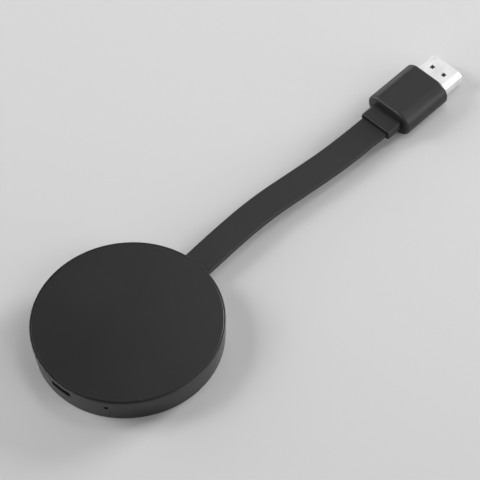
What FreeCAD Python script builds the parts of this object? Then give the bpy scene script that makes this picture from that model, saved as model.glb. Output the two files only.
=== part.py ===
import FreeCAD, Part
import math
import os

from FreeCAD import Vector as V

# Wireless display dongle: a round puck, a flat ribbon cable and an HDMI plug.
# Millimetres. Origin at the centre of the puck's base, +Z up, +X along the cable as it leaves the puck.
# The USB socket looks along -X. The plug lies on the same surface as the puck.

# ---- puck ----
RIM_R = 32.0          # radius of the wall under the lip
WALL_R = 31.3         # radius of the wall at its foot
PUCK_H = 9.55         # height of the lip
LIP_FILLET = 0.22     # the lip's corner is nearly sharp
BASE_FILLET = 0.4     # rounding of the base edge
TAPER_R = 31.94       # the wall widens evenly to this radius
TAPER_Z = 7.95        # at this height, and turns upright above it
WALL_IN_R = 29.8      # inside of the wall
BASE_T = 1.4          # floor of the housing
SEAM_R = 31.49        # inside of the lip
SEAM_GAP = 0.16       # seam between lip and cover
COVER_T = 1.2         # thickness of the cover at its edge
COVER_EDGE = 9.68     # height of the cover's edge, a little proud of the lip
COVER_CROWN = 0.27    # rise of the cover at its middle
LABEL_R = 22.5        # shallow round recess in the underside
LABEL_D = 0.25

# ---- board ----
BOARD_R = 29.0
BOARD_T = 1.0
BOARD_TOP = 5.6
BOARD_CUT_X = 23.4    # the board is cut off here, to leave room for the cable grommet
SCREW_AT = [(55.0, 24.6), (152.0, 24.6), (285.0, 24.6)]   # azimuth in degrees, radius

# ---- openings in the wall ----
PORT_Z = 6.85         # centre height of the USB slot
PORT_W = 8.3
PORT_H = 2.5
PIN_AZ = -150.0       # azimuth of the reset pinhole
PIN_Z = 6.3
PIN_R = 0.7
LED_AZ = -148.2       # azimuth of the indicator's light guide
LED_Z = 3.65
LED_R = 0.44

# ---- reset switch ----
PRESS = 0.25          # travel of the plunger

# ---- flat cable ----
CABLE_W = 11.0
CABLE_T = 1.7
CABLE_Z = 5.17        # height of its middle plane
ROUTE = [(32.5, 0.0), (47.5, 0.0), (65.1, -0.9), (83.0, -4.1), (99.5, -6.757), (115.938, -7.733)]
PLUG_AT = (115.04, -7.68)  # middle of the collar's rear face
PLUG_YAW = -3.4       # heading of the plug, degrees about +Z

# ---- plug, measured along its own axis from the rear face of the collar ----
COLLAR_L = 6.4
COLLAR_W = 12.75
COLLAR_H = 3.95
MOUTH_D = 0.9         # the cable goes this far into the collar
MOUTH_W = 11.6        # through a mouth with a little room round the cable
MOUTH_H = 3.1
GRIP_L = 20.1
GRIP_W = 18.85
GRIP_H = 10.34
GRIP_R = 5.0          # rounding of the grip's long edges
GRIP_WALL = 1.6
SHELL_L = 9.6         # length of metal in front of the grip
SHELL_W = 13.9
SHELL_TOP_W = 10.9    # the shell's upper corners are tapered
SHELL_H = 4.45
SHELL_SIDE_Z = 0.9    # the tapers start this far above the shell's middle
SHELL_T = 0.3
SHELL_DROP = 0.4      # the shell sits a little below the grip's middle
SHELL_Y = 0.0
LATCH_X = 5.05        # latch holes, in front of the grip
LATCH_Y = 2.63
LATCH_S = 1.45

nodes = {}


def box(x0, x1, y0, y1, z0, z1):
    return Part.makeBox(x1 - x0, y1 - y0, z1 - z0, V(x0, y0, z0))


def cyl(r, h, base, axis=V(0, 0, 1)):
    return Part.makeCylinder(r, h, base, axis)


def prism_x(points, x0, x1):
    """A polygon of (y, z) points, drawn out along X."""
    w = Part.makePolygon([V(x0, y, z) for y, z in points] + [V(x0, *points[0])])
    return Part.Face(w).extrude(V(x1 - x0, 0, 0))


def round_bar(x0, x1, w, h, r, zc=0.0, yc=0.0):
    """A bar along X whose section is a rounded rectangle, w wide and h high."""
    a, b = w / 2 - r, h / 2 - r
    c = r * math.sqrt(0.5)
    p = []
    for sy, sz in ((1, 1), (-1, 1), (-1, -1), (1, -1)):
        cy, cz = yc + sy * a, zc + sz * b
        if sy == sz:
            p.append((V(x0, cy + sy * r, cz), V(x0, cy + sy * c, cz + sz * c), V(x0, cy, cz + sz * r)))
        else:
            p.append((V(x0, cy, cz + sz * r), V(x0, cy + sy * c, cz + sz * c), V(x0, cy + sy * r, cz)))
    edges = []
    for i in range(4):
        s, m, e = p[i]
        edges.append(Part.Arc(s, m, e).toShape())
        n = p[(i + 1) % 4][0]
        if (n - e).Length > 1e-6:
            edges.append(Part.LineSegment(e, n).toShape())
    return Part.Face(Part.Wire(edges)).extrude(V(x1 - x0, 0, 0))


def at_azimuth(shape, deg):
    """Turns a shape built along +X to an azimuth about the puck's axis."""
    s = shape.copy()
    s.rotate(V(0, 0, 0), V(0, 0, 1), deg)
    return s


def fillet_where(shape, r, test):
    edges = [e for e in shape.Edges if test(e)]
    return shape.makeFillet(r, edges)


def polar(deg, r):
    a = math.radians(deg)
    return r * math.cos(a), r * math.sin(a)


def arc3(s, m, e):
    return Part.Arc(s, m, e).toShape()


def line(s, e):
    return Part.LineSegment(s, e).toShape()


# ------------------------------------------------------------------ lower housing
def wall_point(z):
    """Radius of the outside of the wall at height z, below the lip."""
    if z <= BASE_FILLET:
        return WALL_R
    if z <= TAPER_Z:
        return WALL_R + (TAPER_R - WALL_R) * (z - BASE_FILLET) / (TAPER_Z - BASE_FILLET)
    top, rise = PUCK_H - LIP_FILLET - TAPER_Z, RIM_R - TAPER_R
    big = (top * top + rise * rise) / (2 * rise)
    return RIM_R - big + math.sqrt(big * big - (PUCK_H - LIP_FILLET - z) ** 2)


def p2(r, z):
    return V(r, 0, z)


c45 = math.sqrt(0.5)
lip_z = PUCK_H - LIP_FILLET
mid_z = (TAPER_Z + lip_z) / 2
seat_z = COVER_EDGE - COVER_T
outline = [
    line(p2(0, 0), p2(WALL_R - BASE_FILLET, 0)),
    arc3(p2(WALL_R - BASE_FILLET, 0),
         p2(WALL_R - BASE_FILLET + BASE_FILLET * c45, BASE_FILLET - BASE_FILLET * c45),
         p2(WALL_R, BASE_FILLET)),
    line(p2(WALL_R, BASE_FILLET), p2(TAPER_R, TAPER_Z)),
    arc3(p2(TAPER_R, TAPER_Z), p2(wall_point(mid_z), mid_z), p2(RIM_R, lip_z)),
    arc3(p2(RIM_R, PUCK_H - LIP_FILLET),
         p2(RIM_R - LIP_FILLET + LIP_FILLET * c45, PUCK_H - LIP_FILLET + LIP_FILLET * c45),
         p2(RIM_R - LIP_FILLET, PUCK_H)),
    line(p2(RIM_R - LIP_FILLET, PUCK_H), p2(SEAM_R, PUCK_H)),
    line(p2(SEAM_R, PUCK_H), p2(SEAM_R, seat_z)),
    line(p2(SEAM_R, seat_z), p2(WALL_IN_R, seat_z)),
    line(p2(WALL_IN_R, seat_z), p2(WALL_IN_R, BASE_T)),
    line(p2(WALL_IN_R, BASE_T), p2(0, BASE_T)),
    line(p2(0, BASE_T), p2(0, 0)),
]
lower = Part.Face(Part.Wire(outline)).revolve(V(0, 0, 0), V(0, 0, 1), 360)

board_bottom = BOARD_TOP - BOARD_T
for az, r in SCREW_AT:
    x, y = polar(az, r)
    lower = lower.fuse(cyl(2.1, board_bottom - BASE_T + 0.2, V(x, y, BASE_T - 0.2)))
    lower = lower.cut(cyl(0.75, board_bottom - 1.9 + 1.0, V(x, y, 1.9)))
# locating posts that carry the board's edge, and the cradle under the cable grommet
for az in (15.0 + 90, 200.0, 330.0):
    x, y = polar(az, 27.4)
    lower = lower.fuse(cyl(1.2, board_bottom - BASE_T + 0.2, V(x, y, BASE_T - 0.2)))
GROMMET_X0 = 24.2
FLANGE_X0, FLANGE_X1 = 26.4, 28.7
grommet_z0, grommet_z1 = CABLE_Z - 1.75, CABLE_Z + 1.75
lower = lower.fuse(box(24.7, FLANGE_X0 - 0.1, -5.4, 5.4, BASE_T - 0.2, grommet_z0))
for s in (-1, 1):
    y0, y1 = sorted((s * 7.6, s * 8.6))
    lower = lower.fuse(box(FLANGE_X0 - 0.2, 27.6, y0, y1, BASE_T - 0.2, 6.7))
# openings
lower = lower.cut(round_bar(-33.5, -28.5, PORT_W, PORT_H, 1.1, PORT_Z))
lower = lower.cut(at_azimuth(cyl(PIN_R, 6.0, V(27.5, 0, PIN_Z), V(1, 0, 0)), PIN_AZ))
lower = lower.cut(at_azimuth(cyl(LED_R, 6.0, V(27.5, 0, LED_Z), V(1, 0, 0)), LED_AZ))
lower = lower.cut(round_bar(28.0, 33.5, 12.2, 3.5, 1.2, CABLE_Z))
# shallow recess in the underside
lower = lower.cut(cyl(LABEL_R, LABEL_D + 1, V(0, 0, -1)))
# catches for the cover's four hooks
HOOK_AZ = (42.0, 128.0, 232.0, 318.0)
for az in HOOK_AZ:
    lower = lower.cut(at_azimuth(box(28.8, 30.3, -2.9, 2.9, seat_z - 2.2, seat_z - 1.2), az))
nodes["lower_housing"] = lower.removeSplitter()

# ------------------------------------------------------------------ top cover
cover_r = SEAM_R - SEAM_GAP
edge_r = 0.1
crown_R = (cover_r ** 2 + COVER_CROWN ** 2) / (2 * COVER_CROWN)


def crown_z(r):
    return COVER_EDGE + COVER_CROWN - crown_R + math.sqrt(crown_R ** 2 - r ** 2)


r1 = cover_r - edge_r
profile = [
    line(p2(0, seat_z), p2(cover_r, seat_z)),
    line(p2(cover_r, seat_z), p2(cover_r, COVER_EDGE - edge_r)),
    line(p2(cover_r, COVER_EDGE - edge_r), p2(r1, crown_z(r1))),
    arc3(p2(r1, crown_z(r1)), p2(r1 / 2, crown_z(r1 / 2)), p2(0, crown_z(0))),
    line(p2(0, crown_z(0)), p2(0, seat_z)),
]
cover = Part.Face(Part.Wire(profile)).revolve(V(0, 0, 0), V(0, 0, 1), 360)
ring = cyl(29.6, 0.9, V(0, 0, seat_z - 0.9)).cut(cyl(28.8, 0.9, V(0, 0, seat_z - 0.9)))
ring = ring.cut(box(-32, -24, -6.5, 6.5, 5, 9)).cut(box(22, 32, -9.5, 9.5, 5, 9))
cover = cover.fuse(ring.Solids)
for az in HOOK_AZ:
    hook = box(28.7, 29.55, -2.4, 2.4, seat_z - 2.6, seat_z + 0.2)
    w = Part.makePolygon([V(29.5, -2.4, seat_z - 2.15), V(30.05, -2.4, seat_z - 1.35), V(29.5, -2.4, seat_z - 1.3), V(29.5, -2.4, seat_z - 2.15)])
    nub = Part.Face(w).extrude(V(0, 4.8, 0))
    cover = cover.fuse(at_azimuth(hook.fuse(nub), az))
# a rib that holds the grommet down
cover = cover.fuse(box(24.7, 25.7, -4.3, 4.3, grommet_z1 + 0.05, seat_z + 0.2))
nodes["top_cover"] = cover.removeSplitter()

# ------------------------------------------------------------------ main board
board = cyl(BOARD_R, BOARD_T, V(0, 0, board_bottom))
board = board.cut(box(BOARD_CUT_X, 40, -40, 40, 0, 10))
for az, r in SCREW_AT:
    x, y = polar(az, r)
    board = board.cut(cyl(1.0, 4, V(x, y, board_bottom - 1)))
nodes["main_board"] = board

# screws: pan head with a cross recess
screws = []
for az, r in SCREW_AT:
    x, y = polar(az, r)
    head = cyl(1.55, 0.85, V(x, y, BOARD_TOP))
    head = fillet_where(head, 0.4, lambda e: abs(e.BoundBox.ZMin - BOARD_TOP - 0.85) < 1e-4 and abs(e.BoundBox.ZMax - BOARD_TOP - 0.85) < 1e-4)
    head = head.cut(box(x - 0.85, x + 0.85, y - 0.16, y + 0.16, BOARD_TOP + 0.4, 8))
    head = head.cut(box(x - 0.16, x + 0.16, y - 0.85, y + 0.85, BOARD_TOP + 0.4, 8))
    shank = cyl(0.7, BOARD_TOP - 2.4 + 0.1, V(x, y, 2.4))
    tip = Part.makeCone(0.25, 0.7, 0.4, V(x, y, 2.0))
    screws.append(head.fuse([shank, tip]).removeSplitter())
nodes["board_screws"] = Part.makeCompound(screws)

# ------------------------------------------------------------------ micro-USB socket
USB_X0, USB_L = -29.35, 5.4
USB_X1 = USB_X0 + USB_L
USB_FULL_H = 2.45
zt = PORT_Z + USB_FULL_H / 2
zb = PORT_Z - USB_FULL_H / 2


def usb_section(inset):
    return [(3.75 - inset, zt - inset), (-3.75 + inset, zt - inset), (-3.75 + inset, PORT_Z - 0.15),
            (-2.85 + inset * 0.6, zb + inset), (2.85 - inset * 0.6, zb + inset), (3.75 - inset, PORT_Z - 0.15)]


shell = prism_x(usb_section(0), USB_X0, USB_X1).cut(prism_x(usb_section(0.28), USB_X0 - 1, USB_X1 + 1))
tabs = [box(x, x + 0.9, y, y + 0.3, BOARD_TOP, PORT_Z) for x in (USB_X0 + 0.8, USB_X1 - 1.3) for y in (-4.02, 3.72)]
shell = shell.fuse(tabs).removeSplitter()
nodes["usb_shell"] = shell
contacts = []
for i in range(5):
    y = (i - 2) * 0.65
    c = box(USB_X0 + 1.6, USB_X1 + 0.15, y - 0.13, y + 0.13, PORT_Z + 0.06, PORT_Z + 0.2)
    c = c.fuse([box(USB_X1 + 0.02, USB_X1 + 0.15, y - 0.13, y + 0.13, BOARD_TOP, PORT_Z + 0.2),
                box(USB_X1 + 0.02, USB_X1 + 0.9, y - 0.13, y + 0.13, BOARD_TOP, BOARD_TOP + 0.14)])
    contacts.append(c.removeSplitter())
nodes["usb_contacts"] = Part.makeCompound(contacts)
tongue = prism_x(usb_section(0.3), USB_X1 - 1.3, USB_X1).fuse(
    box(USB_X0 + 1.4, USB_X1 - 1.2, -1.75, 1.75, PORT_Z + 0.12, PORT_Z + 0.68)).removeSplitter()
for c in contacts:
    tongue = tongue.cut(c)
nodes["usb_tongue"] = tongue

# ------------------------------------------------------------------ chips and small parts on the board
def chip(cx, cy, w, d, h, chamfer=0.15, z=None):
    z = BOARD_TOP if z is None else z
    b = box(cx - w / 2, cx + w / 2, cy - d / 2, cy + d / 2, z, z + h)
    top = z + h
    return b.makeChamfer(chamfer, [e for e in b.Edges if e.BoundBox.ZMin > top - 1e-4])


nodes["soc_chip"] = chip(-2.0, 1.5, 13.0, 13.0, 1.0)
nodes["memory_chip"] = chip(12.0, 5.0, 8.0, 12.0, 0.9)
nodes["flash_chip"] = chip(12.0, -9.0, 8.0, 6.0, 0.85)
wifi = chip(-4.0, -15.5, 12.0, 11.0, 0.8, 0.05).fuse(chip(-4.0, -15.5, 10.8, 9.8, 1.1, 0.2, BOARD_TOP + 0.8))
nodes["wifi_module"] = wifi.removeSplitter()
nodes["crystals"] = Part.makeCompound([chip(-13.0, 6.5, 3.2, 2.5, 0.8, 0.1), chip(4.6, -19.0, 2.5, 2.0, 0.7, 0.1)])


def inductor(cx, cy):
    lo = box(cx - 2.1, cx + 2.1, cy - 2.1, cy + 2.1, BOARD_TOP, BOARD_TOP + 0.5)
    core = cyl(1.55, 1.2, V(cx, cy, BOARD_TOP + 0.4))
    hi = cyl(2.05, 0.4, V(cx, cy, BOARD_TOP + 1.55))
    return lo.fuse([core, hi]).removeSplitter()


nodes["power_inductors"] = Part.makeCompound([inductor(-19.2, -5.8), inductor(-16.4, 13.9)])
caps = [(-12.6, 1.5), (-12.6, -1.2), (-12.6, -3.9), (6.9, 10.6), (6.9, -2.6), (4.9, -11.0),
        (-18.6, 2.4), (-18.6, 6.6), (2.5, 12.4), (-3.5, 12.4), (17.6, -3.6), (9.8, -14.6)]
nodes["chip_capacitors"] = Part.makeCompound([chip(x, y, 1.6, 0.8, 0.8, 0.06) for x, y in caps])
res = [(-8.6, 12.4), (-14.6, -8.4), (-14.6, -10.2), (4.9, -13.0), (4.9, -15.0), (14.8, 13.0),
       (12.2, 13.0), (18.8, 7.5), (18.8, 9.5), (15.0, -14.6), (-18.6, 4.4), (0.0, -8.0),
       (2.4, -8.0), (-2.4, -8.0)]
nodes["chip_resistors"] = Part.makeCompound([chip(x, y, 1.6, 0.8, 0.45, 0.05) for x, y in res])

# antenna: a folded strip that stands on the board's edge
ant = box(-9.0, 7.0, 25.4, 25.65, BOARD_TOP + 0.6, 7.5)
ant = ant.fuse([box(-9.0, -8.2, 25.4, 25.65, BOARD_TOP, 7.0), box(-6.2, -5.4, 25.4, 25.65, BOARD_TOP, 7.0),
                box(-9.0, 7.0, 23.8, 25.65, 7.25, 7.5)])
nodes["wifi_antenna"] = ant.removeSplitter()

# heat path: pad on the main chip and a bent plate that stands on the board by four legs
nodes["thermal_pad"] = chip(-2.0, 1.5, 12.0, 12.0, 0.5, 0.1, BOARD_TOP + 1.0)
plate_z = BOARD_TOP + 1.5
plate = box(-16.5, 7.0, -8.5, 11.5, plate_z, plate_z + 0.6)
plate = fillet_where(plate, 2.0, lambda e: abs(e.BoundBox.ZLength - 0.6) < 1e-4)
plate = plate.fuse([box(x, x + 0.6, y, y + 2.4, BOARD_TOP, plate_z + 0.3)
                    for x in (-16.5, 6.4) for y in (-6.0, 6.6)])
nodes["heat_spreader"] = plate.removeSplitter()

# reset switch: the body lies on the board with its plunger towards the pinhole
sw = box(23.9, 27.3, -2.3, 2.3, BOARD_TOP, BOARD_TOP + 1.9)
sw = sw.makeChamfer(0.15, [e for e in sw.Edges if e.BoundBox.ZMin > BOARD_TOP + 1.9 - 1e-4])
sw = sw.cut(box(25.7, 27.9, -1.1, 1.1, PIN_Z - 0.55, PIN_Z + 0.55))
nodes["reset_switch_body"] = at_azimuth(sw, PIN_AZ)
pl = box(26.1, 28.6, -1.04, 1.04, PIN_Z - 0.49, PIN_Z + 0.49)
pl = pl.makeFillet(0.25, [e for e in pl.Edges if e.BoundBox.XMin > 28.6 - 1e-4])
nodes["reset_plunger"] = at_azimuth(pl, PIN_AZ)

# indicator: a side-looking lamp under the board and a light guide in the wall
nodes["status_led"] = at_azimuth(box(26.5, 27.7, -0.9, 0.9, board_bottom - 0.65, board_bottom), LED_AZ)
guide = cyl(LED_R - 0.04, wall_point(LED_Z) - 0.12 - 27.8, V(27.8, 0, LED_Z), V(1, 0, 0))
guide = guide.fuse(cyl(0.75, 0.65, V(29.1, 0, LED_Z), V(1, 0, 0))).removeSplitter()
nodes["led_light_guide"] = at_azimuth(guide, LED_AZ)

# ------------------------------------------------------------------ cable, puck end
nose_x = ROUTE[0][0]
grommet = round_bar(GROMMET_X0, nose_x, 12.0, 3.3, 1.1, CABLE_Z)
grommet = grommet.fuse(round_bar(FLANGE_X0, FLANGE_X1, 14.8, 5.2, 1.2, CABLE_Z)).removeSplitter()
grommet = fillet_where(grommet, 0.35, lambda e: abs(e.BoundBox.XMin - nose_x) < 1e-4 and abs(e.BoundBox.XMax - nose_x) < 1e-4)
nodes["cable_grommet"] = grommet
core_z = BOARD_TOP + 0.31
cores, joints = [], []
for i in range(10):
    y = (i - 4.5) * 0.95
    cores.append(cyl(0.3, GROMMET_X0 - 21.6, V(21.6, y, core_z), V(1, 0, 0)))
    j = box(20.2, 21.6, y - 0.34, y + 0.34, BOARD_TOP, BOARD_TOP + 0.6)
    joints.append(j.makeFillet(0.2, [e for e in j.Edges if e.BoundBox.ZMin > BOARD_TOP + 0.6 - 1e-4]))
nodes["cable_cores"] = Part.makeCompound(cores)
nodes["solder_joints"] = Part.makeCompound(joints)

# ------------------------------------------------------------------ flat cable
def route_path(points):
    """Straight runs joined by tangent arcs. Returns [(kind, start, middle, end)] and the arcs' radii."""
    pts = [V(x, y, 0) for x, y in points]
    out, radii, at = [], [], pts[0]
    for i in range(1, len(pts) - 1):
        a, b, c = pts[i - 1], pts[i], pts[i + 1]
        u, w = (b - a), (c - b)
        shorter = min(u.Length, w.Length)
        u.normalize()
        w.normalize()
        half = u.getAngle(w) / 2
        trim = 0.45 * shorter
        radius = trim / math.tan(half)
        s, e = b - u * trim, b + w * trim
        inward = (w - u)
        inward.normalize()
        centre = b + inward * (radius / math.cos(half))
        m = centre - inward * radius
        out.append(("line", at, None, s))
        out.append(("arc", s, m, e))
        radii.append(radius)
        at = e
    out.append(("line", at, None, pts[-1]))
    return out, radii


def left_of(v):
    n = V(-v.y, v.x, 0)
    n.normalize()
    return n


def offset_side(path, d):
    """The path's edges moved d to the left, at the cable's lower face."""
    z = V(0, 0, CABLE_Z - CABLE_T / 2)
    edges = []
    for k, (kind, s, m, e) in enumerate(path):
        if kind == "line":
            n = left_of(e - s)
            edges.append([s + n * d + z, e + n * d + z])
        else:
            n0 = left_of(s - path[k - 1][1])
            n1 = left_of(path[k + 1][3] - e)
            nm = n0 + n1
            nm.normalize()
            edges.append([s + n0 * d + z, m + nm * d + z, e + n1 * d + z])
    return edges


path, radii = route_path(ROUTE)
length = 0.0
for kind, s, m, e in path:
    length += (e - s).Length if kind == "line" else Part.Arc(s, m, e).toShape().Length
left, right = offset_side(path, CABLE_W / 2), offset_side(path, -CABLE_W / 2)


def as_edges(side, back=False):
    out = []
    for q in (reversed(side) if back else side):
        q = list(reversed(q)) if back else q
        out.append(line(*q) if len(q) == 2 else arc3(*q))
    return out


ring_edges = as_edges(right) + [line(right[-1][-1], left[-1][-1])] + as_edges(left, True) + [line(left[0][0], right[0][0])]
cable = Part.Face(Part.Wire(ring_edges)).extrude(V(0, 0, CABLE_T))
nodes["flat_cable"] = cable
print("cable radii", [round(r, 1) for r in radii], "length", round(length, 2),
      "volume", round(cable.Volume, 2), "section x length", round(CABLE_W * CABLE_T * length, 2))

# ------------------------------------------------------------------ plug, built along +X from the collar's rear face, its axis at z = 0
plug = {}
grip0, grip1 = COLLAR_L, COLLAR_L + GRIP_L
tip = grip1 + SHELL_L


def at_x(e, x):
    return abs(e.BoundBox.XMin - x) < 1e-4 and abs(e.BoundBox.XMax - x) < 1e-4


collar = round_bar(0, COLLAR_L, COLLAR_W, COLLAR_H, 1.1)
collar = fillet_where(collar, 0.3, lambda e: at_x(e, 0))
collar = collar.cut(round_bar(-1, MOUTH_D, MOUTH_W, MOUTH_H, 0.85))
collar = collar.fuse(round_bar(COLLAR_L - 0.1, grip0 + GRIP_WALL + 1.2, 10.6, 2.9, 0.8)).removeSplitter()
plug["plug_collar"] = collar

grip = round_bar(grip0, grip1, GRIP_W, GRIP_H, GRIP_R)
grip = fillet_where(grip, 0.9, lambda e: at_x(e, grip0) or at_x(e, grip1))
hollow0, hollow1 = grip0 + GRIP_WALL, grip1 - GRIP_WALL
grip = grip.cut(round_bar(hollow0, hollow1, GRIP_W - 2 * GRIP_WALL, GRIP_H - 2 * GRIP_WALL, 2.2))
grip = grip.cut(round_bar(grip0 - 1, hollow0 + 1, 10.7, 3.0, 0.85))


def sharp(shape, edge):
    """True where the two faces that meet in this edge are flat and stand at an angle."""
    faces = [f for f in shape.Faces if any(g.isSame(edge) for g in f.Edges)]
    if len(faces) != 2 or any(f.Surface.TypeId != "Part::GeomPlane" for f in faces):
        return False
    return faces[0].normalAt(0, 0).cross(faces[1].normalAt(0, 0)).Length > 0.05


def d_section(inset, drop=SHELL_DROP):
    w, wt = SHELL_W / 2 - inset, SHELL_TOP_W / 2 - inset * 0.38
    z0, z1, zs = -SHELL_H / 2 + inset - drop, SHELL_H / 2 - inset - drop, SHELL_SIDE_Z - inset * 0.45 - drop
    return [(SHELL_Y + y, z) for y, z in ((w, z0), (w, zs), (wt, z1), (-wt, z1), (-w, zs), (-w, z0))]


def d_bar(inset, x0, x1, r, r_low):
    """A bar of the shell's section: the tapers run softly into the top and the sides, the lower corners are tighter."""
    b = prism_x(d_section(inset), x0, x1)
    low = -SHELL_H / 2 + inset - SHELL_DROP + 0.1
    for rad, upper in ((r, True), (r_low, False)):
        b = b.makeFillet(rad, [e for e in b.Edges if abs(e.BoundBox.XLength - (x1 - x0)) < 1e-4
                               and len(e.Vertexes) == 2 and sharp(b, e) and (e.BoundBox.ZMin > low) == upper])
    return b


grip = grip.cut(d_bar(-0.05, hollow1 - 1, grip1 + 1, 0.9, 0.5))
plug["plug_housing"] = grip

shell_x0 = grip1 - 9.0
shell = d_bar(0, shell_x0, tip, 0.85, 0.45)
shell = shell.cut(d_bar(SHELL_T, shell_x0 - 1, tip + 1, 0.6, 0.25))
# the far corners of the shell are eased where it enters a socket
for s in (-1, 1):
    far = SHELL_W / 2
    w = Part.makePolygon([V(tip - a, SHELL_Y + s * b, -5) for a, b in (
        (0.32, far + 1), (0.32, far + 0.001), (0.2, far - 0.02), (0.12, far - 0.06), (0.06, far - 0.12), (0.02, far - 0.2),
        (0.0, far - 0.32), (-0.5, far - 0.32), (-0.5, far + 1), (0.32, far + 1))])
    shell = shell.cut(Part.Face(w).extrude(V(0, 0, 10)))
for s in (-1, 1):
    for z0 in (0.5, -4.0):
        lx = grip1 + LATCH_X
        shell = shell.cut(box(lx - LATCH_S / 2, lx + LATCH_S / 2, SHELL_Y + s * LATCH_Y - LATCH_S / 2,
                              SHELL_Y + s * LATCH_Y + LATCH_S / 2, z0, z0 + 3.5))
plug["plug_shell"] = shell.removeSplitter()

# contact carrier with a slot open to the front, and 10 + 9 contacts on the slot's two faces
carrier = d_bar(SHELL_T + 0.05, shell_x0, tip - 1.0, 0.6, 0.25)
slot_z = -SHELL_DROP
carrier = carrier.cut(box(tip - 8.2, tip + 1, SHELL_Y - 5.75, SHELL_Y + 5.75, slot_z - 0.95, slot_z + 0.95))
pins = []
for n, sign in ((10, 1), (9, -1)):
    for i in range(n):
        y = SHELL_Y + (i - (n - 1) / 2) * 1.0
        z0, z1 = sorted((slot_z + sign * 0.72, slot_z + sign * 1.08))
        pins.append(box(shell_x0 - 1.5, tip - 1.6, y - 0.22, y + 0.22, z0, z1))
plug["plug_contacts"] = Part.makeCompound(pins)
for c in pins:
    carrier = carrier.cut(c)
plug["plug_insulator"] = carrier

# inner moulding: fills the grip round the wires, from the collar's tenon to the metal shell
im0, im1 = grip0 + GRIP_WALL + 1.25, shell_x0 - 0.05
inner = round_bar(im0, im1, GRIP_W - 2 * GRIP_WALL - 0.1, GRIP_H - 2 * GRIP_WALL - 0.1, 2.2)
inner = inner.cut(box(im0 - 1, im1 + 1, -5.3, 5.6, slot_z - 1.3, slot_z + 1.3))
plug["plug_inner_mould"] = inner
wires = []
for n, sign in ((10, 1), (9, -1)):
    for i in range(n):
        y = SHELL_Y + (i - (n - 1) / 2) * 1.0
        wires.append(cyl(0.3, shell_x0 - 1.5 - (im0 + 0.05), V(im0 + 0.05, y, slot_z + sign * 0.9), V(1, 0, 0)))
plug["plug_cores"] = Part.makeCompound(wires)

end_x, end_y = PLUG_AT
for name, shape in plug.items():
    shape.rotate(V(0, 0, 0), V(0, 0, 1), PLUG_YAW)
    shape.translate(V(end_x, end_y, CABLE_Z))
    nodes[name] = shape

# ------------------------------------------------------------------ write
os.makedirs("parts", exist_ok=True)
for name, shape in nodes.items():
    for s in shape.Solids:
        if not s.isValid() or s.Volume <= 0:
            print("NOT VALID", name)
    shape.exportStep("parts/%s.step" % name)
    b = shape.BoundBox
    print("%-20s solids %2d  vol %9.2f  x %.2f..%.2f  y %.2f..%.2f  z %.2f..%.2f"
          % (name, len(shape.Solids), shape.Volume, b.XMin, b.XMax, b.YMin, b.YMax, b.ZMin, b.ZMax))
print(len(nodes), "nodes")
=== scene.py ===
import math

import bmesh
import bpy
from mathutils import Matrix, Vector


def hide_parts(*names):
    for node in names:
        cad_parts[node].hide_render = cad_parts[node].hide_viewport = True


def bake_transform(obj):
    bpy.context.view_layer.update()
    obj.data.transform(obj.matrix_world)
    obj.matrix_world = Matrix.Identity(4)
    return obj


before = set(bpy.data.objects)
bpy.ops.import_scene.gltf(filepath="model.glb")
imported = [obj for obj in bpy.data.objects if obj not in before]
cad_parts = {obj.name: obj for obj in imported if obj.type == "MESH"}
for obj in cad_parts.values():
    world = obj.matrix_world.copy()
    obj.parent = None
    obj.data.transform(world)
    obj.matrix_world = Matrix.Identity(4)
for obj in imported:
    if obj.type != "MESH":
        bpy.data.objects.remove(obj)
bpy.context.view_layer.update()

MM = 0.001

# ---------------------------------------------------------------- camera
# The view is that of the photograph: a long lens, high over the puck.
CAM_AZ, CAM_EL, CAM_ROLL = -0.7771991, 0.9336026, 0.0825961
CAM_TARGET = Vector((0.052662, -0.001568, 0.0))
CAM_DIST = 0.98464
CAM_LENS = 221.334

side = Vector((math.cos(CAM_AZ), math.sin(CAM_AZ), 0.0))
ahead = Vector((-math.sin(CAM_AZ), math.cos(CAM_AZ), 0.0))
look = ahead * math.cos(CAM_EL) + Vector((0, 0, -math.sin(CAM_EL)))
up0 = side.cross(look)
cam_right = side * math.cos(CAM_ROLL) - up0 * math.sin(CAM_ROLL)
cam_up = side * math.sin(CAM_ROLL) + up0 * math.cos(CAM_ROLL)
cam_pos = CAM_TARGET - look * CAM_DIST - cam_right * 0.0001668 + cam_up * 0.0001668

cam = bpy.data.objects.new("camera", bpy.data.cameras.new("camera"))
bpy.context.scene.collection.objects.link(cam)
cam.data.sensor_width = 36.0
cam.data.lens = CAM_LENS
cam.data.clip_start, cam.data.clip_end = 0.01, 20.0
m = Matrix((cam_right, cam_up, -look)).transposed().to_4x4()
m.translation = cam_pos
cam.matrix_world = m
bpy.context.scene.camera = cam


# ---------------------------------------------------------------- flat cable
# The control points of the cable's centreline, from puck to plug.
CABLE_Z = 5.17 * MM
ROUTE = [(32.5, 0.0), (47.5, 0.0), (65.1, -0.9), (83.0, -4.1), (99.5, -6.757), (115.938, -7.733)]
CABLE_W, CABLE_T, CABLE_R = 11.0 * MM, 1.7 * MM, 0.55 * MM


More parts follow.
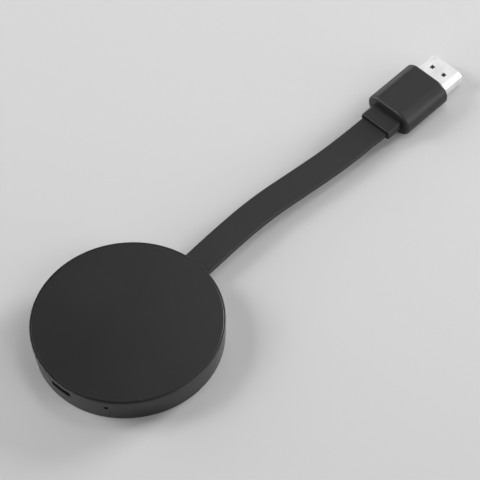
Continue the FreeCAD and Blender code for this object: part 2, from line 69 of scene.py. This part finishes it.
def spline_points(points, resolution=24):
    """Points along the smooth line that has these control points."""
    c = bpy.data.curves.new("cable_line", "CURVE")
    c.dimensions = "3D"
    c.resolution_u = resolution
    s = c.splines.new("NURBS")
    s.points.add(len(points) - 1)
    for p, (x, y) in zip(s.points, points):
        p.co = (x * MM, y * MM, CABLE_Z, 1.0)
    s.order_u = 3
    s.use_endpoint_u = True
    o = bpy.data.objects.new("cable_line", c)
    bpy.context.scene.collection.objects.link(o)
    bpy.context.view_layer.update()
    mesh = bpy.data.meshes.new_from_object(o)
    order = [v.co.copy() for v in mesh.vertices]
    bpy.data.objects.remove(o)
    bpy.data.curves.remove(c)
    bpy.data.meshes.remove(mesh)
    out = [order[0]]
    for p in order[1:]:
        if (p - out[-1]).length > 2e-5:
            out.append(p)
    if out[0].x > out[-1].x:
        out.reverse()
    return out


def ribbon_profile(w, t, r, steps=5):
    """Corners of the cable's section: (across, up), with round edges."""
    pts = []
    for cx, cy, a0 in ((w / 2 - r, t / 2 - r, 0), (-w / 2 + r, t / 2 - r, 90),
                       (-w / 2 + r, -t / 2 + r, 180), (w / 2 - r, -t / 2 + r, 270)):
        for k in range(steps + 1):
            a = math.radians(a0 + 90 * k / steps)
            pts.append((cx + r * math.cos(a), cy + r * math.sin(a)))
    return pts


line = spline_points(ROUTE)
ribbon_mesh = bpy.data.meshes.new("ribbon_cable")
bm = bmesh.new()
prof = ribbon_profile(CABLE_W, CABLE_T, CABLE_R)
# a third of a millimetre of it is hidden in the grommet and in the collar
tail = [line[0] + (line[0] - line[1]).normalized() * 0.3 * MM] + line \
    + [line[-1] + (line[-1] - line[-2]).normalized() * 0.3 * MM]
rings = []
for i, p in enumerate(tail):
    a, b = tail[max(i - 1, 0)], tail[min(i + 1, len(tail) - 1)]
    t = (b - a).normalized()
    n = Vector((-t.y, t.x, 0.0)).normalized()
    rings.append([bm.verts.new(p + n * u + Vector((0, 0, 1)) * v) for u, v in prof])
for r0, r1 in zip(rings, rings[1:]):
    for k in range(len(prof)):
        j = (k + 1) % len(prof)
        bm.faces.new((r0[k], r1[k], r1[j], r0[j]))
bm.faces.new(rings[0])
bm.faces.new(list(reversed(rings[-1])))
bmesh.ops.recalc_face_normals(bm, faces=bm.faces)
bm.to_mesh(ribbon_mesh)
bm.free()
for f in ribbon_mesh.polygons:
    f.use_smooth = len(f.vertices) == 4
ribbon = bpy.data.objects.new("ribbon_cable", ribbon_mesh)
bpy.context.scene.collection.objects.link(ribbon)
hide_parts("flat_cable")


# ---------------------------------------------------------------- materials
def base(name):
    m = bpy.data.materials.new(name)
    m.use_nodes = True
    nt = m.node_tree
    return m, nt, nt.nodes["Principled BSDF"]


def coords(nt, scale=(1, 1, 1), turn=0.0):
    tc = nt.nodes.new("ShaderNodeTexCoord")
    mp = nt.nodes.new("ShaderNodeMapping")
    mp.inputs["Scale"].default_value = scale
    mp.inputs["Rotation"].default_value = (0, 0, turn)
    nt.links.new(tc.outputs["Object"], mp.inputs["Vector"])
    return mp.outputs["Vector"]


def noise(nt, vec, scale, detail=3.0, rough=0.5):
    n = nt.nodes.new("ShaderNodeTexNoise")
    n.inputs["Scale"].default_value = scale
    n.inputs["Detail"].default_value = detail
    n.inputs["Roughness"].default_value = rough
    nt.links.new(vec, n.inputs["Vector"])
    return n.outputs["Fac"]


def voronoi(nt, vec, scale, feature="F1"):
    n = nt.nodes.new("ShaderNodeTexVoronoi")
    n.feature = feature
    n.inputs["Scale"].default_value = scale
    nt.links.new(vec, n.inputs["Vector"])
    return n.outputs["Distance"]


def ramp(nt, fac, stops):
    n = nt.nodes.new("ShaderNodeValToRGB")
    e = n.color_ramp.elements
    while len(e) < len(stops):
        e.new(0.5)
    for el, (p, c) in zip(e, stops):
        el.position = p
        el.color = (*c, 1.0) if hasattr(c, "__len__") else (c, c, c, 1.0)
    nt.links.new(fac, n.inputs["Fac"])
    return n.outputs["Color"]


def span(nt, fac, a, b, low=0.3, high=0.7):
    n = nt.nodes.new("ShaderNodeMapRange")
    n.inputs["From Min"].default_value = low
    n.inputs["From Max"].default_value = high
    n.inputs["To Min"].default_value = a
    n.inputs["To Max"].default_value = b
    nt.links.new(fac, n.inputs["Value"])
    return n.outputs["Result"]


def calc(nt, op, a, b=None, clamp=False):
    n = nt.nodes.new("ShaderNodeMath")
    n.operation = op
    n.use_clamp = clamp
    for k, v in enumerate((a, b)):
        if v is None:
            continue
        if isinstance(v, (int, float)):
            n.inputs[k].default_value = v
        else:
            nt.links.new(v, n.inputs[k])
    return n.outputs["Value"]


def mix(nt, fac, a, b, kind="MIX"):
    n = nt.nodes.new("ShaderNodeMix")
    n.data_type = "RGBA"
    n.blend_type = kind
    for key, v in ((0, fac), (6, a), (7, b)):
        if isinstance(v, (int, float)):
            n.inputs[key].default_value = v
        elif hasattr(v, "__len__"):
            n.inputs[key].default_value = (*v, 1.0)
        else:
            nt.links.new(v, n.inputs[key])
    return n.outputs[2]


def bump(nt, bsdf, height, strength, distance, under=None):
    n = nt.nodes.new("ShaderNodeBump")
    n.inputs["Strength"].default_value = strength
    n.inputs["Distance"].default_value = distance
    nt.links.new(height, n.inputs["Height"])
    if under is not None:
        nt.links.new(under, n.inputs["Normal"])
    nt.links.new(n.outputs["Normal"], bsdf.inputs["Normal"])
    return n.outputs["Normal"]


def grey(v, tint=(1.0, 1.0, 1.02)):
    return tuple(v * t for t in tint)


def moulded(name, v, rough=(0.42, 0.5), grain=2600, strength=0.25, depth=2e-5, spec=0.5, polish=None,
            tint=(1.0, 1.0, 1.02)):
    """Moulded plastic from a spark-eroded mould: even charcoal with a fine grain, faint cloudiness where it
    cooled, and, where polish is given as (radius, height), a lip that hands have rubbed smoother."""
    m, nt, b = base(name)
    vec = coords(nt)
    cloud = noise(nt, vec, 55, 4.0)
    fine = noise(nt, vec, 900, 3.0)
    pits = voronoi(nt, vec, grain)
    grit = noise(nt, vec, grain * 1.7, 2.0)
    colour = ramp(nt, cloud, [(0.3, grey(v * 0.93, tint)), (0.5, grey(v, tint)), (0.7, grey(v * 1.07, tint))])
    colour = mix(nt, span(nt, grit, 0.0, 0.22, 0.35, 0.75), colour, grey(v * 1.7, tint))
    r = span(nt, cloud, rough[0], rough[1])
    r = calc(nt, "ADD", r, span(nt, fine, -0.025, 0.025))
    if polish:
        sep = nt.nodes.new("ShaderNodeSeparateXYZ")
        nt.links.new(vec, sep.inputs["Vector"])
        rad = calc(nt, "SQRT", calc(nt, "ADD", calc(nt, "MULTIPLY", sep.outputs["X"], sep.outputs["X"]),
                                    calc(nt, "MULTIPLY", sep.outputs["Y"], sep.outputs["Y"])))
        lip = calc(nt, "MULTIPLY", span(nt, rad, 0, 1, polish[0] - 0.0004, polish[0] + 0.0003),
                   span(nt, sep.outputs["Z"], 0, 1, polish[1] - 0.0006, polish[1] + 0.0002))
        lip = calc(nt, "MULTIPLY", lip, span(nt, fine, 0.45, 1.0))
        r = calc(nt, "SUBTRACT", r, calc(nt, "MULTIPLY", lip, 0.1))
        colour = mix(nt, calc(nt, "MULTIPLY", lip, 0.18), colour, grey(v * 2.2, tint))
    nt.links.new(colour, b.inputs["Base Color"])
    nt.links.new(r, b.inputs["Roughness"])
    b.inputs["Specular IOR Level"].default_value = spec
    h = calc(nt, "ADD", calc(nt, "MULTIPLY", pits, 0.6), calc(nt, "MULTIPLY", grit, 0.6))
    bump(nt, b, h, strength, depth)
    return m


def rubbery(name, v, turn=0.0):
    """Soft cable jacket: matte, with the faint lines that the extruder's die leaves along it."""
    m, nt, b = base(name)
    long = coords(nt, (14, 1, 1), turn)
    long.node.inputs["Scale"].default_value = (0.02, 1.0, 0.3)
    vec = coords(nt)
    die = noise(nt, long, 2400, 3.0)
    cloud = noise(nt, vec, 70, 4.0)
    grit = noise(nt, vec, 4200, 2.0)
    colour = ramp(nt, cloud, [(0.3, grey(v * 0.92)), (0.7, grey(v * 1.08))])
    colour = mix(nt, span(nt, die, 0.0, 0.3), colour, grey(v * 1.35))
    nt.links.new(colour, b.inputs["Base Color"])
    nt.links.new(calc(nt, "ADD", span(nt, cloud, 0.47, 0.55), span(nt, die, -0.03, 0.03)), b.inputs["Roughness"])
    b.inputs["Specular IOR Level"].default_value = 0.45
    b.inputs["Sheen Weight"].default_value = 0.04
    h = calc(nt, "ADD", calc(nt, "MULTIPLY", die, 0.5), calc(nt, "MULTIPLY", grit, 0.5))
    bump(nt, b, h, 0.22, 2e-5)
    return m


def plated(name, colour, rough=(0.2, 0.32), turn=0.0, streak=(0.03, 1.0, 1.0), scale=1800, scratch=0.12, tarnish=0.0,
           relief=0.12):
    """Plated or bare sheet metal: rolling streaks, insertion scratches and uneven gloss."""
    m, nt, b = base(name)
    lv = coords(nt, streak, turn)
    vec = coords(nt)
    lines = noise(nt, lv, scale, 4.0)
    cloud = noise(nt, vec, 240, 4.0)
    dark = tuple(c * (0.9 - tarnish) for c in colour)
    col = ramp(nt, cloud, [(0.32, dark), (0.52, colour), (0.75, tuple(min(1, c * 1.05) for c in colour))])
    col = mix(nt, span(nt, lines, 0.0, scratch, 0.5, 0.7), col, dark)
    nt.links.new(col, b.inputs["Base Color"])
    b.inputs["Metallic"].default_value = 1.0
    nt.links.new(calc(nt, "ADD", span(nt, cloud, rough[0], rough[1]), span(nt, lines, -0.04, 0.05)), b.inputs["Roughness"])
    bump(nt, b, lines, relief, 1.2e-5)
    return m


def board_material():
    """Green solder mask over copper: tracks, poured planes and small tinned vias show through it."""
    m, nt, b = base("board_mask")
    vec = coords(nt)
    cells = nt.nodes.new("ShaderNodeTexBrick")
    cells.inputs["Scale"].default_value = 420
    cells.inputs["Mortar Size"].default_value = 0.06
    cells.inputs["Color1"].default_value = (0.010, 0.085, 0.035, 1)
    cells.inputs["Color2"].default_value = (0.013, 0.105, 0.045, 1)
    cells.inputs["Mortar"].default_value = (0.022, 0.155, 0.065, 1)
    nt.links.new(vec, cells.inputs["Vector"])
    plane = ramp(nt, noise(nt, vec, 140, 1.0), [(0.47, (0.011, 0.080, 0.034)), (0.49, (0.02, 0.14, 0.058))])
    col = mix(nt, 0.45, cells.outputs["Color"], plane)
    hole = voronoi(nt, vec, 560)
    ring = ramp(nt, hole, [(0.06, 0.0), (0.075, 1.0), (0.13, 1.0), (0.15, 0.0)])
    col = mix(nt, ring, col, (0.62, 0.47, 0.22))
    nt.links.new(col, b.inputs["Base Color"])
    nt.links.new(span(nt, noise(nt, vec, 700, 2.0), 0.24, 0.38), b.inputs["Roughness"])
    bump(nt, b, cells.outputs["Fac"], 0.35, 2e-5)
    return m


def epoxy(name, v, marks=True):
    """Moulded chip bodies: fine-grained black epoxy."""
    m, nt, b = base(name)
    vec = coords(nt)
    grit = noise(nt, vec, 3200, 3.0)
    cloud = noise(nt, vec, 160, 3.0)
    col = ramp(nt, cloud, [(0.3, grey(v * 0.85)), (0.7, grey(v * 1.2))])
    col = mix(nt, span(nt, grit, 0.0, 0.35), col, grey(v * 1.9))
    nt.links.new(col, b.inputs["Base Color"])
    nt.links.new(span(nt, grit, 0.5, 0.66), b.inputs["Roughness"])
    bump(nt, b, grit, 0.3, 2.5e-5)
    return m


def two_tone(name, a, c, scale, rough=(0.35, 0.5), metal=0.0, depth=2e-5, strength=0.2, spec=0.5):
    """Ceramics, pads and insulation: two close tones in an uneven mottle, with grain."""
    m, nt, b = base(name)
    vec = coords(nt)
    n1 = noise(nt, vec, scale, 4.0)
    n2 = noise(nt, vec, scale * 6, 2.0)
    nt.links.new(mix(nt, span(nt, n2, 0.0, 0.25), ramp(nt, n1, [(0.35, a), (0.65, c)]), a), b.inputs["Base Color"])
    nt.links.new(span(nt, n1, rough[0], rough[1]), b.inputs["Roughness"])
    b.inputs["Metallic"].default_value = metal
    b.inputs["Specular IOR Level"].default_value = spec
    bump(nt, b, n2, strength, depth)
    return m


def cores(name, turn=0.0):
    """Insulated wires, one colour for each, side by side across the cable."""
    m, nt, b = base(name)
    vec = coords(nt, (1, 1, 1), turn)
    sep = nt.nodes.new("ShaderNodeSeparateXYZ")
    nt.links.new(vec, sep.inputs["Vector"])
    t = calc(nt, "FRACT", calc(nt, "MULTIPLY", sep.outputs["Y"], 220.0))
    col = ramp(nt, t, [(0.0, (0.45, 0.03, 0.025)), (0.25, (0.03, 0.12, 0.4)), (0.5, (0.55, 0.5, 0.45)), (0.75, (0.03, 0.28, 0.08))])
    col.node.color_ramp.interpolation = "CONSTANT"
    grit = noise(nt, vec, 2500, 2.0)
    nt.links.new(mix(nt, span(nt, grit, 0.0, 0.2), col, (0.1, 0.1, 0.1)), b.inputs["Base Color"])
    nt.links.new(span(nt, grit, 0.32, 0.45), b.inputs["Roughness"])
    bump(nt, b, grit, 0.1, 1e-5)
    return m


YAW = math.radians(3.4)
WALL = moulded("housing_plastic", 0.007, (0.31, 0.37), spec=0.62)
COVER = moulded("cover_plastic", 0.006, (0.40, 0.47), spec=0.47)
GRIP = moulded("grip_plastic", 0.007, (0.38, 0.45))
JACKET = rubbery("cable_rubber", 0.006, YAW * 0.6)
TIN = plated("connector_tin", (0.855, 0.855, 0.86), (0.52, 0.58), YAW, (0.05, 1.0, 1.0), 2600, 0.2, 0.0, 0.05)
SOCKET = plated("socket_tin", (0.66, 0.66, 0.67), (0.26, 0.38), 0.0)
GOLD = plated("contact_gold", (0.86, 0.62, 0.27), (0.18, 0.3), 0.0, (0.1, 1, 1), 3000, 0.1)
SHIELD = plated("shield_nickel", (0.6, 0.6, 0.61), (0.28, 0.42), 0.3, (0.08, 1, 1), 1500, 0.25, 0.06)
ALU = plated("spreader_aluminium", (0.74, 0.745, 0.76), (0.3, 0.42), 0.7, (0.04, 1, 1), 1400, 0.3, 0.04)
SCREW = plated("screw_zinc_black", (0.2, 0.2, 0.205), (0.35, 0.5), 0.0, (1, 1, 1), 1800, 0.3, 0.1)
SOLDER = two_tone("solder_joint", (0.62, 0.62, 0.63), (0.78, 0.78, 0.79), 900, (0.22, 0.36), 1.0)
NYLON = moulded("contact_nylon", 0.010, (0.48, 0.56), 3000, 0.3)
BOARD = board_material()
EPOXY = epoxy("chip_epoxy", 0.016)
FERRITE = two_tone("ferrite", (0.055, 0.055, 0.06), (0.11, 0.11, 0.115), 700, (0.5, 0.7), 0.25, 4e-5, 0.5)
CERAMIC = two_tone("capacitor_ceramic", (0.36, 0.25, 0.15), (0.52, 0.40, 0.28), 1100, (0.4, 0.55))
RESISTOR = two_tone("resistor_ceramic", (0.018, 0.018, 0.02), (0.09, 0.09, 0.1), 900, (0.25, 0.4))
LED = two_tone("led_lens", (0.75, 0.72, 0.5), (0.88, 0.87, 0.78), 1500, (0.1, 0.2), 0.0, 5e-6)
SILICONE = two_tone("silicone_pad", (0.26, 0.33, 0.43), (0.38, 0.45, 0.54), 420, (0.6, 0.75), 0.0, 5e-5, 0.4)
GUIDE = two_tone("light_guide", (0.05, 0.05, 0.052), (0.085, 0.085, 0.088), 600, (0.12, 0.22), 0.0, 5e-6, 0.1, 0.6)
INNER = two_tone("inner_mould", (0.52, 0.51, 0.47), (0.62, 0.61, 0.57), 260, (0.45, 0.6), 0.0, 3e-5, 0.3)
BUTTON = moulded("switch_button", 0.014, (0.4, 0.5), 3000, 0.25)
WIRES = cores("wire_insulation")
PLUG_WIRES = cores("plug_wire_insulation", YAW)

DRESS = {
    "lower_housing": WALL, "top_cover": COVER, "plug_housing": GRIP, "plug_collar": GRIP,
    "cable_grommet": JACKET, "plug_shell": TIN, "usb_shell": SOCKET, "usb_tongue": NYLON,
    "plug_insulator": NYLON, "usb_contacts": GOLD, "plug_contacts": GOLD, "main_board": BOARD,
    "soc_chip": EPOXY, "memory_chip": EPOXY, "flash_chip": EPOXY, "wifi_module": SHIELD,
    "wifi_antenna": SHIELD, "crystals": SHIELD, "power_inductors": FERRITE,
    "chip_capacitors": CERAMIC, "chip_resistors": RESISTOR, "status_led": LED,
    "reset_switch_body": SHIELD, "thermal_pad": SILICONE, "heat_spreader": ALU,
    "board_screws": SCREW, "cable_cores": WIRES, "solder_joints": SOLDER,
    "led_light_guide": GUIDE, "plug_inner_mould": INNER, "plug_cores": PLUG_WIRES,
    "reset_plunger": BUTTON,
}


def dress(obj, mat):
    if not obj.material_slots:
        obj.data.materials.append(mat)
    for s in obj.material_slots:
        s.link = "OBJECT"
        s.material = mat


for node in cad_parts:
    name = node if isinstance(node, str) else node["node"]
    if name in DRESS:
        dress(bpy.data.objects[name], DRESS[name])
ribbon.data.materials.append(JACKET)

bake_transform(ribbon)


# ---------------------------------------------------------------- studio
def floor():
    mesh = bpy.data.meshes.new("studio_floor")
    s = 3.0
    mesh.from_pydata([(-s, -s, 0), (s, -s, 0), (s, s, 0), (-s, s, 0)], [], [(0, 1, 2, 3)])
    o = bpy.data.objects.new("studio_floor", mesh)
    bpy.context.scene.collection.objects.link(o)
    m, nt, b = base("studio_paper")
    vec = coords(nt)
    nt.links.new(ramp(nt, noise(nt, vec, 3, 3.0), [(0.3, (0.555, 0.555, 0.555)), (0.7, (0.575, 0.575, 0.575))]), b.inputs["Base Color"])
    b.inputs["Roughness"].default_value = 0.85
    b.inputs["Specular IOR Level"].default_value = 0.2
    mesh.materials.append(m)
    return o


floor()


def softbox(name, direction, dist, w, h, power):
    """A rectangular lamp that looks at the middle of the object, seen from it in that direction."""
    d = direction.normalized()
    L = bpy.data.lights.new(name, "AREA")
    L.shape = "RECTANGLE"
    L.size, L.size_y = w, h
    L.energy = power
    o = bpy.data.objects.new(name, L)
    bpy.context.scene.collection.objects.link(o)
    mid = Vector((0.053, 0.0, 0.0))
    o.location = mid + d * dist
    o.rotation_mode = "QUATERNION"
    o.rotation_quaternion = d.to_track_quat("Z", "Y")
    return o


Z = Vector((0, 0, 1))


def around(angle, height):
    """A direction: angle in degrees from straight ahead towards the right, height in degrees above the floor."""
    a, e = math.radians(angle), math.radians(height)
    return (ahead * math.cos(a) + side * math.sin(a)) * math.cos(e) + Z * math.sin(e)


# a ring of soft lamps: the walls of the puck and the edges of the cable mirror the low ones
for name, angle, height, dist, size, power in (
        ("lamp_low_right", 60, 12, 2.0, 0.76, 54.0), ("lamp_low_back", 0, 12, 1.1, 0.42, 1.5),
        ("lamp_low_left_back", -60, 12, 1.1, 0.42, 3.2),("lamp_low_left_front", -120, 12, 2.0, 0.76, 9.0),
        ("lamp_low_right_front", 118, 12, 1.1, 0.42, 2.2), ("lamp_left", -76, 36, 1.1, 0.5, 6.6),
        ("lamp_right", 108, 33, 1.1, 0.7, 0.6), ("lamp_right_front", 134, 40, 1.1, 0.5, 2.4)):
    softbox(name, around(angle, height), dist, size, size, power)

# a panel of small lamps overhead, brighter to the right: the flat upper faces mirror it
PANEL_Z = 0.34
for k, (right, back, power) in enumerate((
        (0.0, 0.15, 0.022), (0.0, 0.25, 0.070), (0.0, 0.45, 0.028), (0.1, 0.05, 0.168), (0.1, 0.25, 0.042),
        (0.1, 0.35, 0.030), (0.2, 0.05, 0.055), (0.2, 0.35, 0.084), (0.3, 0.15, 0.046))):
    lamp = softbox("panel_%d" % k, Z, PANEL_Z, 0.1, 0.1, power)
    lamp.location = Vector((0.053, 0.0, PANEL_Z)) + side * right + ahead * back

# the studio round it: a pale backdrop at the horizon, dim above
world = bpy.data.worlds.new("studio")
bpy.context.scene.world = world
world.use_nodes = True
wt = world.node_tree
bg = wt.nodes["Background"]
tc = wt.nodes.new("ShaderNodeTexCoord")
sep = wt.nodes.new("ShaderNodeSeparateXYZ")
wt.links.new(tc.outputs["Generated"], sep.inputs["Vector"])
wt.links.new(ramp(wt, sep.outputs["Z"], [(0.0, 0.5), (0.16, 0.36), (0.36, 0.05), (1.0, 0.03)]), bg.inputs["Color"])
bg.inputs["Strength"].default_value = 1.0
bpy.context.scene.view_settings.view_transform = "Standard"

bpy.context.view_layer.update()
